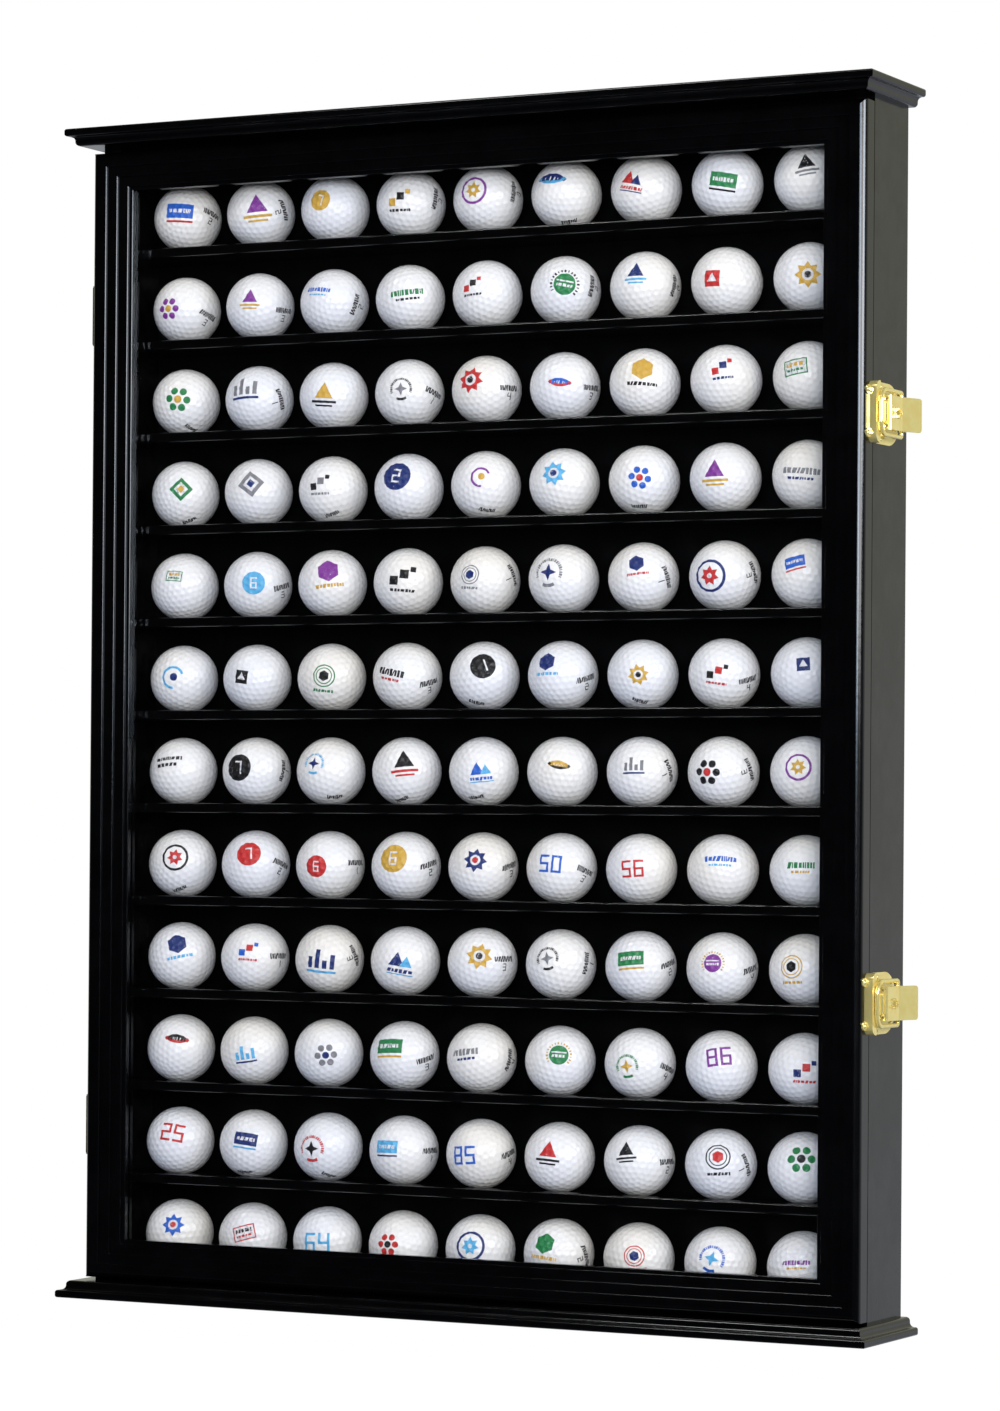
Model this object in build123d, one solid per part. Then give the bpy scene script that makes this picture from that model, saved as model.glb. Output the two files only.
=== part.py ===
from build123d import *
import os
from math import hypot, sqrt

# Wall display case for golf balls: 12 rows of 9 balls behind a glazed door.
# Millimetres. X to the right, Y into the wall, Z up. The origin is the middle of the wall face.

# ---- balls and their rows ----
ball_diameter = 42.7
ball_columns = 9
ball_rows = 12
column_pitch = 53.35
row_pitch = 58.1
ball_sink = 1.45             # how far a ball sits below the shelf's top face
ball_chamfer_share = 0.34    # of the diameter, which gives the solid the sphere's volume
ball_front_gap = 0.25        # from a ball to the back of the closed door
ball_back_gap = 5.15         # from a ball to the back panel
end_margin = 37.3            # from an end ball's centre to the side panel

# ---- carcass ----
side_thickness = 12.0
floor_thickness = 9.0
top_thickness = 9.0
top_row_height = 54.5        # clear height over the top shelf
shelf_thickness = 6.0
shelf_setback = 1.1          # shelf front behind the carcass front
shelf_arris = 1.2
groove_floor_gap = 0.05      # under a ball
groove_side_gap = 0.3        # beside a ball, at the shelf's top face
dado_depth = 3.0
dado_gap = 0.05
back_panel_thickness = 4.0
back_rabbet_width = 6.0
back_panel_gap = 0.2

# ---- cornice and plinth boards: the same moulding, one above and one below ----
bead_radius = 2.4
moulding_rise = 0.6
cove_radius = 2.8
moulding_ledge = 0.8
nose_height = 4.7
nose_radius = 1.4
board_side_overhang = 10.9
board_front_overhang = 15.9  # beyond the door's front

# ---- door ----
seam_gap = 0.8
door_thickness = 13.4
door_top_gap = 3.5
door_bottom_gap = 1.5
stile_width = 27.65
rail_width = 24.4            # top and bottom rails
door_outer_arris = 4.5
step_inset = 10.4            # first step's distance from a stile's outer edge
step_spacing = 7.3
step_count = 3
step_drop = 1.3
step_arris = 0.7
glass_thickness = 3.0
glass_edge_gap = 0.5
rabbet_width = 6.0
stop_width = 5.0
stop_thickness = 2.8

# ---- hinges ----
hinge_length = 36.0
hinge_upper_inset = 101.0    # from the door's top to the upper hinge's middle
hinge_lower_inset = 95.0     # from the door's bottom to the lower hinge's middle
hinge_knuckles = 5
knuckle_gap = 0.2
barrel_radius = 3.0
hinge_pin_radius = 1.5
pin_clearance = 0.06
barrel_offset = 4.2          # barrel axis outside the carcass
leaf_thickness = 1.0
leaf_gap = 0.2
leaf_width = 10.0
hinge_pin_head = 0.8
leaf_screw_spread = 20.0

# ---- draw latches: distances from the seam, heights above the side face ----
latch_spread = 342.6         # between the two latches
latch_middle = 0.8           # halfway between them, above the carcass's middle
latch_height = 36.0
latch_plate = 1.0
keeper_wall = 7.2
keeper_rear = 0.8
keeper_rise = 5.2
keeper_corner = 5.2
keeper_ear_reach = 8.6       # the screws' distance in front of the seam
keeper_ear_radius = 2.6
keeper_ear_level = 12.6      # above and below the latch's middle
tongue_front = 2.4
tongue_height = 9.6
tongue_width = 12.0
bail_wire_radius = 1.3
bail_half_width = 13.0
bail_bar_reach = 4.0         # bar's centre in front of the seam
bail_corner = 7.5
bail_pivot_corner = 1.6
bail_lift_gap = 0.3          # between the bail and the keeper
lever_pivot_reach = 6.5
lever_pivot_height = 4.2
lever_half_width = 10.0
lever_cheek = 1.0
lever_deck_height = 9.8
lever_front_reach = 4.4      # the deck's front edge
lever_foot_reach = 3.5       # the foot of the front wall
lever_foot_height = 5.2
lever_knee_reach = 20.4
lever_notch_height = 8.0     # of the front wall's two notches, which pass the lugs
lever_notch_gap = 0.3
tail_length = 15.6
tail_rise = 6.2
bail_pivot_reach = 27.0
latch_pin_radius = 1.2
lug_gap = 0.6
lug_radius = 2.05
base_front = 2.2
base_rear = 38.7
base_rear_corner = 17.5
base_front_corner = 2.0
base_screw_places = [(9.0, 15.2), (30.5, 12.2)]   # behind the seam, above and below the middle
staple_reach = 10.6
staple_width = 5.2
staple_eye_radius = 1.5
staple_eye_rise = 0.2        # from the lever's deck to the eye, so that a shackle holds the deck down
slot_gap = 0.4               # round the staple as the lever lifts

# ---- screws, bumpers and hangers ----
screw_head_radius = 1.9
screw_head_height = 1.1
screw_radius = 1.1
screw_length = 8.0
bumper_radius = 4.0
bumper_gap = 0.1
bumper_end_distance = 40.0
hanger_spacing = 373.5       # puts the keyholes between ball columns
hanger_width = 26.0
hanger_length = 42.0
hanger_thickness = 1.0
hanger_top_gap = 1.0         # from the carcass top down to the hanger
hanger_corner = 3.0
hanger_screw_spread = 16.0
hanger_screw_length = 16.0
hanger_entry_drop = 32.0     # from the carcass top down to the keyhole's entry
hanger_entry_radius = 4.5
hanger_neck_radius = 2.3
hanger_slot = 10.0
hanger_pocket_gap = 0.5

# ---- worked out ----
ball_radius = ball_diameter / 2
ball_chamfer = ball_chamfer_share * ball_diameter
carcass_depth = back_panel_thickness + ball_back_gap + ball_diameter + ball_front_gap - seam_gap
board_thickness = bead_radius + moulding_rise + cove_radius + nose_height
inner_width = (ball_columns - 1) * column_pitch + 2 * end_margin
case_width = inner_width + 2 * side_thickness
rows_height = (ball_rows - 1) * row_pitch
carcass_height = floor_thickness + rows_height + top_row_height + top_thickness
carcass_top = carcass_height / 2
carcass_bottom = -carcass_height / 2
side_face = case_width / 2
inner_face = inner_width / 2
panel_front = -back_panel_thickness
carcass_front = -carcass_depth
shelf_front = carcass_front + shelf_setback
seam = carcass_front - seam_gap / 2
door_back = carcass_front - seam_gap
ball_y = door_back + ball_front_gap + ball_radius
door_front = door_back - door_thickness
board_front = door_front - board_front_overhang
board_width = case_width + 2 * board_side_overhang
door_bottom = carcass_bottom + door_bottom_gap
door_top = carcass_top - door_top_gap
door_height = door_top - door_bottom
door_middle = (door_top + door_bottom) / 2
first_lip = carcass_bottom + floor_thickness
groove_depth = ball_sink + groove_floor_gap
groove_width = 2 * (ball_radius - ball_chamfer + ball_sink + groove_side_gap)
glass_back = stop_thickness + 0.2
hinge_axis_x = -side_face - barrel_offset
hinge_levels = {"upper": door_top - hinge_upper_inset, "lower": door_bottom + hinge_lower_inset}
latch_levels = {"upper": latch_middle + latch_spread / 2, "lower": latch_middle - latch_spread / 2}
bar_height = keeper_rise + bail_lift_gap + bail_wire_radius
side_middle = side_face - side_thickness / 2
staple_eye_height = lever_deck_height + staple_eye_rise + staple_eye_radius
lug_outer = lever_half_width - lever_cheek - lug_gap

parts = {}


def block(x0, x1, y0, y1, z0, z1):
    """A box between two corners."""
    return Pos((x0 + x1) / 2, (y0 + y1) / 2, (z0 + z1) / 2) * Box(x1 - x0, y1 - y0, z1 - z0)


def quarter(x, y, radius, start, side):
    """A quarter circle on an edge profile, flipped where side is -1."""
    angle = start if side > 0 else 90 - start
    return CenterArc((x, y), radius, angle, 90)


# ---------------------------------------------------------------- cornice and plinth

def moulded_edge(tip, side):
    """The routed edge, from the flat underside to the top. side is +1 if the board lies right of the tip."""
    def at(depth, height):
        return (tip + side * depth, height)

    cove_x = nose_radius + moulding_ledge
    rise_x = cove_x + cove_radius
    start_x = rise_x + bead_radius
    ledge_y = bead_radius + moulding_rise + cove_radius
    edges = [
        quarter(*at(start_x, bead_radius), bead_radius, 180, side),
        Line(at(rise_x, bead_radius), at(rise_x, bead_radius + moulding_rise)),
        quarter(*at(cove_x, bead_radius + moulding_rise), cove_radius, 0, side),
        Line(at(cove_x, ledge_y), at(nose_radius, ledge_y)),
        quarter(*at(nose_radius, ledge_y + nose_radius), nose_radius, 180, side),
        Line(at(0, ledge_y + nose_radius), at(0, board_thickness - nose_radius)),
        quarter(*at(nose_radius, board_thickness - nose_radius), nose_radius, 90, side),
    ]
    return edges, at(start_x, 0), at(nose_radius, board_thickness)


def moulded_board():
    """A board moulded on its front and both ends, mitred at the corners by crossing two extrusions."""
    front, low, high = moulded_edge(board_front, 1)
    front += [Line(high, (0, board_thickness)), Line((0, board_thickness), (0, 0)), Line((0, 0), low)]
    along = extrude(Plane.YZ * make_face(front), board_width / 2, both=True)
    left, left_low, left_high = moulded_edge(-board_width / 2, 1)
    right, right_low, right_high = moulded_edge(board_width / 2, -1)
    ends = left + right + [Line(left_low, right_low), Line(left_high, right_high)]
    across = extrude(Plane.XZ * make_face(ends), -board_front)
    return along & across


board = moulded_board()
parts["cornice_board"] = Pos(0, 0, carcass_top) * board
parts["plinth_board"] = Pos(0, 0, carcass_bottom) * mirror(board, Plane.XY)

# ---------------------------------------------------------------- carcass

def side_panel():
    """The right-hand side: a rabbet for the back panel and a stopped dado for each shelf."""
    panel = block(inner_face, side_face, carcass_front, 0, carcass_bottom, carcass_top)
    rabbet_x = inner_face + back_rabbet_width
    panel -= block(inner_face, rabbet_x, panel_front, 0, carcass_bottom, carcass_top)
    for row in range(1, ball_rows):
        lip = first_lip + row * row_pitch
        panel -= block(inner_face, inner_face + dado_depth, shelf_front - dado_gap, panel_front,
                       lip - shelf_thickness - dado_gap, lip + dado_gap)
    return panel


def grooved(board_solid, lip, half_length):
    """Cuts the ball groove along a board whose top face is at lip."""
    return board_solid - block(-half_length, half_length, ball_y - groove_width / 2,
                               ball_y + groove_width / 2, lip - groove_depth, lip)


side_right = side_panel()
side_left = mirror(side_right, Plane.YZ)
parts["case_floor"] = grooved(
    block(-inner_face, inner_face, carcass_front, panel_front, carcass_bottom, first_lip),
    first_lip, inner_face)
parts["case_top"] = block(-inner_face, inner_face, carcass_front, panel_front,
                          carcass_top - top_thickness, carcass_top)
panel_half = inner_face + back_rabbet_width - back_panel_gap
parts["back_panel"] = block(-panel_half, panel_half, panel_front, 0, carcass_bottom, carcass_top)

shelf_half = inner_face + dado_depth - dado_gap
shelf = block(-shelf_half, shelf_half, shelf_front, panel_front, -shelf_thickness, 0)
shelf = fillet(shelf.edges().filter_by(Axis.X).group_by(Axis.Y)[0], shelf_arris)
shelf = grooved(shelf, 0, shelf_half)
for row in range(1, ball_rows):
    parts[f"shelf_{row:02d}"] = Pos(0, 0, first_lip + row * row_pitch) * shelf

# The balls: each is a block chamfered to 26 flats, as wide and as heavy as the real sphere.
ball = Box(ball_diameter, ball_diameter, ball_diameter)
ball = chamfer(ball.edges(), ball_chamfer)
ball_centre = first_lip - ball_sink + ball_radius
ball_places = [
    Pos((column - (ball_columns - 1) / 2) * column_pitch, ball_y, ball_centre + row * row_pitch)
    for row in range(ball_rows)
    for column in range(ball_columns)
]
parts["golf_balls"] = Compound(children=[place * ball for place in ball_places])

# ---------------------------------------------------------------- door frame and glass

def rail_section(width):
    """A frame piece's section: x runs in from the door's edge, y runs forward from its back face.
    The steps move with the piece's width, so that they meet at the mitres."""
    arris = door_outer_arris * width / stile_width
    edges = [
        Line((0, 0), (0, door_thickness - arris)),
        CenterArc((arris, door_thickness - arris), arris, 90, 90),
    ]
    x, y = arris, door_thickness
    stops = [(step_inset + n * step_spacing) * width / stile_width for n in range(step_count)] + [width]
    for stop in stops:
        edges.append(Line((x, y), (stop - step_arris, y)))
        edges.append(CenterArc((stop - step_arris, y - step_arris), step_arris, 0, 90))
        drop = y - step_drop if stop < width else glass_back + glass_thickness
        edges.append(Line((stop, y - step_arris), (stop, drop)))
        x, y = stop, drop
    rabbet_x = width - rabbet_width
    edges += [Line((x, y), (rabbet_x, y)), Line((rabbet_x, y), (rabbet_x, 0)), Line((rabbet_x, 0), (0, 0))]
    return make_face(edges)


def mitred_rail(length, width, end):
    """A frame piece along X with its outer edge on z = 0 and its back on y = 0, mitred at both ends
    to pieces of width end."""
    lengthwise = Plane(origin=(-length / 2, 0, 0), x_dir=(0, 0, 1), z_dir=(1, 0, 0))
    rail = extrude(lengthwise * rail_section(width), length)
    half = length / 2
    outline = Polyline((-half, 0), (half, 0), (half - end, width), (-half + end, width), close=True)
    return rail & extrude(Plane.XZ * make_face(outline), door_thickness)


def placed_rail(piece, x, z, turn):
    """A frame piece moved to one side of the door and turned about Y."""
    return Pos(x, door_back, z) * Rot(0, turn, 0) * piece


rail = mitred_rail(case_width, rail_width, stile_width)
stile = mitred_rail(door_height, stile_width, rail_width)
parts["door_rail_bottom"] = placed_rail(rail, 0, door_bottom, 0)
parts["door_rail_top"] = placed_rail(rail, 0, door_top, 180)
stile_left = placed_rail(stile, -side_face, door_middle, 90)
stile_right = placed_rail(stile, side_face, door_middle, -90)

glass_half = side_face - (stile_width - rabbet_width + glass_edge_gap)
glass_inset = rail_width - rabbet_width + glass_edge_gap
glass_bottom = door_bottom + glass_inset
glass_top = door_top - glass_inset
glass_rear = door_back - glass_back
parts["glass_pane"] = block(-glass_half, glass_half, glass_rear - glass_thickness, glass_rear,
                            glass_bottom, glass_top)
stop_rear = glass_rear + stop_thickness
stop_low = block(-glass_half, glass_half, glass_rear, stop_rear, glass_bottom, glass_bottom + stop_width)
stop_high = block(-glass_half, glass_half, glass_rear, stop_rear, glass_top - stop_width, glass_top)
stop_side = block(glass_half - stop_width, glass_half, glass_rear, stop_rear,
                  glass_bottom + stop_width, glass_top - stop_width)
parts["glass_stops"] = Compound(children=[stop_low, stop_high, stop_side, mirror(stop_side, Plane.YZ)])

# ---------------------------------------------------------------- screws

def pan_screw(length=screw_length):
    """A screw along Z whose head stands on z = 0."""
    head = Pos(0, 0, screw_head_height / 2) * Cone(screw_head_radius, screw_head_radius * 0.6,
                                                   screw_head_height)
    return head + Pos(0, 0, -length / 2) * Cylinder(screw_radius, length)


def flush_screw(length=screw_length, head=leaf_thickness):
    """A countersunk screw along Z whose head ends flush with z = 0."""
    cone = Pos(0, 0, -head / 2) * Cone(screw_radius, screw_head_radius, head)
    return cone + Pos(0, 0, -head - (length - head) / 2) * Cylinder(screw_radius, length - head)


to_front = Rot(90, 0, 0)      # turns a screw's head from +Z to -Y
to_back = Rot(-90, 0, 0)      # turns a screw's head from +Z to +Y
to_right = Rot(0, 90, 0)      # turns a screw's head from +Z to +X

# ---------------------------------------------------------------- hinges

case_leaf_y = seam + leaf_gap / 2                    # the leaves' facing sides
door_leaf_y = seam - leaf_gap / 2
knuckle_pitch = hinge_length / hinge_knuckles
leaf_screw_x = -side_face + leaf_width / 2
case_screws, door_screws = [], []


def leaf(plate_y, inner_y, knuckles, bore, level):
    """A leaf on the left edge with its own knuckles, at one height."""
    low = level - hinge_length / 2
    solid = block(-side_face, -side_face + leaf_width, min(plate_y, inner_y), max(plate_y, inner_y),
                  low, low + hinge_length)
    for n in knuckles:
        z0, z1 = low + n * knuckle_pitch, low + (n + 1) * knuckle_pitch
        z0, z1 = z0 + knuckle_gap / 2, z1 - knuckle_gap / 2
        solid += block(hinge_axis_x, -side_face, min(plate_y, inner_y), max(plate_y, inner_y), z0, z1)
        solid += Pos(hinge_axis_x, seam, (z0 + z1) / 2) * Cylinder(barrel_radius, z1 - z0)
    return solid - Pos(hinge_axis_x, seam, level) * Cylinder(bore, hinge_length)


for name, level in hinge_levels.items():
    low, high = level - hinge_length / 2, level + hinge_length / 2
    case_leaf = leaf(case_leaf_y, case_leaf_y + leaf_thickness, range(0, hinge_knuckles, 2),
                     hinge_pin_radius, level)
    door_leaf = leaf(door_leaf_y, door_leaf_y - leaf_thickness, range(1, hinge_knuckles, 2),
                     hinge_pin_radius + pin_clearance, level)
    side_left -= block(-side_face, -side_face + leaf_width, carcass_front,
                       case_leaf_y + leaf_thickness, low, high)
    stile_left -= block(-side_face, -side_face + leaf_width, door_leaf_y - leaf_thickness,
                        door_back, low, high)
    for z in (level - leaf_screw_spread / 2, level + leaf_screw_spread / 2):
        case_screw = Pos(leaf_screw_x, case_leaf_y, z) * to_front * flush_screw()
        door_screw = Pos(leaf_screw_x, door_leaf_y, z) * to_back * flush_screw()
        case_leaf -= case_screw
        side_left -= case_screw
        door_leaf -= door_screw
        stile_left -= door_screw
        case_screws.append(case_screw)
        door_screws.append(door_screw)
    pin = Cylinder(hinge_pin_radius, hinge_length)
    for end in (1, -1):
        pin += Pos(0, 0, end * (hinge_length + hinge_pin_head) / 2) * Cylinder(barrel_radius * 0.9,
                                                                            hinge_pin_head)
    parts[f"hinge_{name}_case_leaf"] = case_leaf
    parts[f"hinge_{name}_door_leaf"] = door_leaf
    parts[f"hinge_{name}_pin"] = Pos(hinge_axis_x, seam, level) * pin

parts["hinge_case_screws"] = Compound(children=case_screws)
parts["hinge_door_screws"] = Compound(children=door_screws)
parts["side_left"] = side_left
parts["door_stile_left"] = stile_left

# ---------------------------------------------------------------- draw latches
# Latch pieces are drawn on the plane of the side face: x is the distance behind the seam,
# y the height out from the side face, and the extrusion runs up and down.

latch_plane = Plane(origin=(side_face, seam, 0), x_dir=(0, 1, 0), z_dir=(0, 0, -1))
latch_drill = Plane(origin=(side_face, seam, 0), x_dir=(0, 1, 0), z_dir=(1, 0, 0))


def slab(face, half_height):
    """A latch section made as tall as the piece, evenly about the latch's middle."""
    return extrude(latch_plane * face, half_height, both=True)


def plate(x0, x1, half_height, y0, y1):
    """A plain plate of a latch."""
    return slab(make_face(Polyline((x0, y0), (x1, y0), (x1, y1), (x0, y1), close=True)), half_height)


def latch_screw(x, z):
    """A pan-head screw through a latch plate."""
    return Pos(side_face + latch_plate, seam + x, z) * to_right * pan_screw()


def keeper_cap(inset, height):
    """The keeper's raised cap, or with an inset its hollow: rounded towards the door's front."""
    outline = Rectangle(keeper_wall - keeper_rear - 2 * inset, latch_height - 2 * inset)
    outline = fillet(outline.vertices().group_by(Axis.X)[0], keeper_corner - inset)
    return extrude(latch_drill * Pos(-(keeper_wall + keeper_rear) / 2, 0) * outline, height)


def keeper():
    """The door's half: a pressed cap with two screwed ears and a tongue that the bail's bar hooks over."""
    t = latch_plate
    solid = keeper_cap(0, keeper_rise)
    for level in (keeper_ear_level, -keeper_ear_level):
        ear = Pos(-keeper_ear_reach, level) * Circle(keeper_ear_radius)
        ear += Pos(-keeper_ear_reach / 2, level) * Rectangle(keeper_ear_reach, 2 * keeper_ear_radius)
        ear &= Pos(-keeper_ear_reach, level) * Rectangle(keeper_ear_reach, 3 * keeper_ear_radius)
        solid += extrude(latch_drill * ear, t)
    solid -= keeper_cap(t, keeper_rise - t)
    tongue = plate(-tongue_front, -tongue_front + t, tongue_width / 2, keeper_rise, tongue_height)
    tongue = fillet(tongue.edges().filter_by(Axis.Y).group_by(Axis.X)[-1], base_front_corner)
    return solid + tongue


def base():
    """The case's half: a screwed plate, two lugs for the lever's pin and a staple for a padlock."""
    solid = plate(base_front, base_rear, latch_height / 2, 0, latch_plate)
    corners = solid.edges().filter_by(Axis.X).group_by(Axis.Y)
    solid = fillet(corners[-1], base_rear_corner)
    solid = fillet(solid.edges().filter_by(Axis.X).group_by(Axis.Y)[0], base_front_corner)
    lug = Rectangle(2 * lug_radius, lever_pivot_height - latch_plate)
    lug = Pos(lever_pivot_reach, (lever_pivot_height + latch_plate) / 2) * lug
    lug += Pos(lever_pivot_reach, lever_pivot_height) * Circle(lug_radius)
    lug -= Pos(lever_pivot_reach, lever_pivot_height) * Circle(latch_pin_radius)
    lugs = slab(lug, lug_outer)
    lugs -= plate(lever_pivot_reach - 2 * lug_radius, lever_pivot_reach + 2 * lug_radius,
                  lug_outer - latch_plate, latch_plate, lever_pivot_height + 2 * lug_radius)
    outline = Rectangle(staple_width, staple_eye_height - latch_plate)
    outline = Pos(0, (staple_eye_height + latch_plate) / 2) * outline
    outline += Pos(0, staple_eye_height) * Circle(staple_width / 2)
    outline -= Pos(0, staple_eye_height) * Circle(staple_eye_radius)
    upright = Plane(origin=(side_face, seam + staple_reach, 0), x_dir=(0, 0, 1), z_dir=(0, 1, 0))
    return solid + lugs + extrude(upright * outline, latch_plate)


def lever():
    """A channel that pivots on the lugs, with a front wall, a slotted deck and an upswept finger tail."""
    t = latch_plate
    knee, tail = lever_knee_reach, lever_knee_reach + tail_length
    slope = (lever_front_reach - lever_foot_reach) / (lever_deck_height - lever_foot_height)
    foot_in = lever_foot_reach + t * hypot(1, slope)
    front_in = foot_in + slope * (lever_deck_height - t - lever_foot_height)
    outside = FilletPolyline(
        (lever_foot_reach, lever_foot_height), (lever_front_reach, lever_deck_height),
        (knee, lever_deck_height), (tail, lever_deck_height + tail_rise), radius=[1.3, 4])
    inside = FilletPolyline(
        (foot_in, lever_foot_height), (front_in, lever_deck_height - t),
        (knee + 0.2, lever_deck_height - t), (tail + 0.4, lever_deck_height - t + tail_rise), radius=[0.3, 5])
    section = make_face([inside, outside, Line(inside @ 0, outside @ 0), Line(inside @ 1, outside @ 1)])
    solid = slab(section, lever_half_width)
    solid = fillet(solid.edges().filter_by(Axis.Z, reverse=True).filter_by(lambda e: e.length < 1.5 * t)
                   .group_by(Axis.Y)[-1], base_front_corner)
    boss = lug_radius + 0.2
    cheek = make_face(Polyline(
        (lever_foot_reach, lever_foot_height), (lever_front_reach, lever_deck_height - t),
        (bail_pivot_reach + boss, lever_deck_height - t), (bail_pivot_reach + boss, bar_height),
        (bail_pivot_reach, bar_height - boss), (lever_pivot_reach, lever_pivot_height - boss), close=True))
    cheek += Pos(lever_pivot_reach, lever_pivot_height) * Circle(boss)
    cheek += Pos(bail_pivot_reach, bar_height) * Circle(boss)
    cheek -= Pos(lever_pivot_reach, lever_pivot_height) * Circle(latch_pin_radius + pin_clearance)
    cheek -= Pos(bail_pivot_reach, bar_height) * Circle(bail_wire_radius + pin_clearance)
    cheeks = slab(cheek, lever_half_width)
    cheeks -= plate(0, base_rear + 5, lever_half_width - lever_cheek, 0, lever_deck_height - t)
    # the staple's outermost corner swings through the deck this far behind the pivot
    corner = hypot(staple_reach + t - lever_pivot_reach,
                   staple_eye_height + staple_width / 2 - lever_pivot_height)
    slot_end = sqrt(corner ** 2 - (lever_deck_height - t - lever_pivot_height) ** 2)
    slot_end += lever_pivot_reach + slot_gap
    slot = plate(staple_reach - slot_gap, slot_end, staple_width / 2 + slot_gap,
                 lever_deck_height - 2 * t, lever_deck_height + t)
    notches = plate(0, lever_pivot_reach, lug_outer + lever_notch_gap, 0, lever_notch_height)
    notches -= plate(0, lever_pivot_reach, lug_outer - t - lever_notch_gap, 0, lever_notch_height)
    return solid + cheeks - slot - notches


def bail():
    """The wire bail: its ends turn in through the lever's cheeks, its bar drops behind the tongue."""
    inner = lever_half_width - lever_cheek - 0.2
    points = [(bail_pivot_reach, inner), (bail_pivot_reach, bail_half_width),
              (-bail_bar_reach, bail_half_width), (-bail_bar_reach, -bail_half_width),
              (bail_pivot_reach, -bail_half_width), (bail_pivot_reach, -inner)]
    radii = [bail_pivot_corner, bail_corner, bail_corner, bail_pivot_corner]
    flat = Plane(origin=(side_face + bar_height, seam, 0), x_dir=(0, 1, 0), z_dir=(1, 0, 0))
    path = flat * FilletPolyline(*points, radius=radii)
    end = Plane(origin=path @ 0, z_dir=path % 0)
    return sweep(end * Circle(bail_wire_radius), path)


base_screw_spots = [(x, end * z) for x, z in base_screw_places for end in (1, -1)]
keeper_screw_spots = [(-keeper_ear_reach, end * keeper_ear_level) for end in (1, -1)]
base_screws, keeper_screws = [], []

for name, level in latch_levels.items():
    at_level = Pos(0, 0, level)
    base_solid, keeper_solid = at_level * base(), at_level * keeper()
    for x, z in base_screw_spots:
        screw = latch_screw(x, level + z)
        base_solid -= screw
        side_right -= screw
        base_screws.append(screw)
    for x, z in keeper_screw_spots:
        screw = latch_screw(x, level + z)
        keeper_solid -= screw
        stile_right -= screw
        keeper_screws.append(screw)
    pin_place = Pos(side_face + lever_pivot_height, seam + lever_pivot_reach, level)
    parts[f"latch_{name}_base"] = base_solid
    parts[f"latch_{name}_pin"] = pin_place * Cylinder(latch_pin_radius, 2 * lever_half_width)
    parts[f"latch_{name}_keeper"] = keeper_solid
    parts[f"latch_{name}_lever"] = at_level * lever()
    parts[f"latch_{name}_bail"] = at_level * bail()

parts["latch_base_screws"] = Compound(children=base_screws)
parts["latch_keeper_screws"] = Compound(children=keeper_screws)
parts["door_stile_right"] = stile_right

# ---------------------------------------------------------------- bumpers and wall hangers

bumper = to_front * Cylinder(bumper_radius, seam_gap - bumper_gap)
bumper_y = carcass_front - (seam_gap - bumper_gap) / 2
parts["door_bumpers"] = Compound(children=[
    Pos(side_middle, bumper_y, end * (carcass_top - bumper_end_distance)) * bumper for end in (1, -1)])

hang_plane = Plane(origin=(0, 0, carcass_top), x_dir=(-1, 0, 0), z_dir=(0, 1, 0))


def keyhole(entry, neck, depth):
    """A keyhole cutter from the wall face: a round entry below and a narrower slot above it."""
    shape = Pos(0, -hanger_entry_drop) * Circle(entry)
    shape += Pos(0, hanger_slot / 2 - hanger_entry_drop) * Rectangle(2 * neck, hanger_slot)
    shape += Pos(0, hanger_slot - hanger_entry_drop) * Circle(neck)
    return extrude(hang_plane * shape, -depth)


hanger_screws = []
for name, x in {"left": -hanger_spacing / 2, "right": hanger_spacing / 2}.items():
    outline = RectangleRounded(hanger_width, hanger_length, hanger_corner)
    outline = Pos(-x, -hanger_top_gap - hanger_length / 2) * outline
    seat = extrude(hang_plane * outline, -hanger_thickness)
    hanger = seat - Pos(x, 0, 0) * keyhole(hanger_entry_radius, hanger_neck_radius, hanger_thickness)
    pocket_radius = hanger_entry_radius + hanger_pocket_gap
    pocket = Pos(x, 0, 0) * keyhole(pocket_radius, pocket_radius, back_panel_thickness)
    parts["back_panel"] -= seat + pocket
    for side in (1, -1):
        place = Pos(x + side * hanger_screw_spread / 2, 0, carcass_top - top_thickness / 2)
        screw = place * to_back * flush_screw(hanger_screw_length, hanger_thickness)
        hanger -= screw
        parts["back_panel"] -= screw
        parts["case_top"] -= screw
        hanger_screws.append(screw)
    parts[f"hanger_{name}"] = hanger
parts["hanger_screws"] = Compound(children=hanger_screws)
parts["side_right"] = side_right

os.makedirs("parts", exist_ok=True)
for name, shape in parts.items():
    export_step(shape, f"parts/{name}.step")
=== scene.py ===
import math
import random

import bmesh
import bpy
import numpy as np
from mathutils import Matrix, Vector


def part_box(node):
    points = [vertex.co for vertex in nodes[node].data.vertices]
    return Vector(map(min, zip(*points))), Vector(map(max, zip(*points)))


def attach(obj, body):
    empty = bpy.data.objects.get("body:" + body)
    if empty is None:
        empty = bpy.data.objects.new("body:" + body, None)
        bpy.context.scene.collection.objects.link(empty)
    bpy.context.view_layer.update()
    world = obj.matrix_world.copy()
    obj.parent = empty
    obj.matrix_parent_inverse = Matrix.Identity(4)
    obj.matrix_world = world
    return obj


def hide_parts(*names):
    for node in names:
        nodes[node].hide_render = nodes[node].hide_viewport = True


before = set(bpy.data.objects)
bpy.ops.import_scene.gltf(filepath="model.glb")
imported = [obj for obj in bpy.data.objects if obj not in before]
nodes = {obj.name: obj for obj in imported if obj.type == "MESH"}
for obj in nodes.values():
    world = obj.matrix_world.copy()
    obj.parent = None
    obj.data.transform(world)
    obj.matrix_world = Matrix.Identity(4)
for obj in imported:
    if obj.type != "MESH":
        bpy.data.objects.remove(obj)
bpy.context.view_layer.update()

MM = 0.001
BALL_RADIUS = 21.35 * MM
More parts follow.
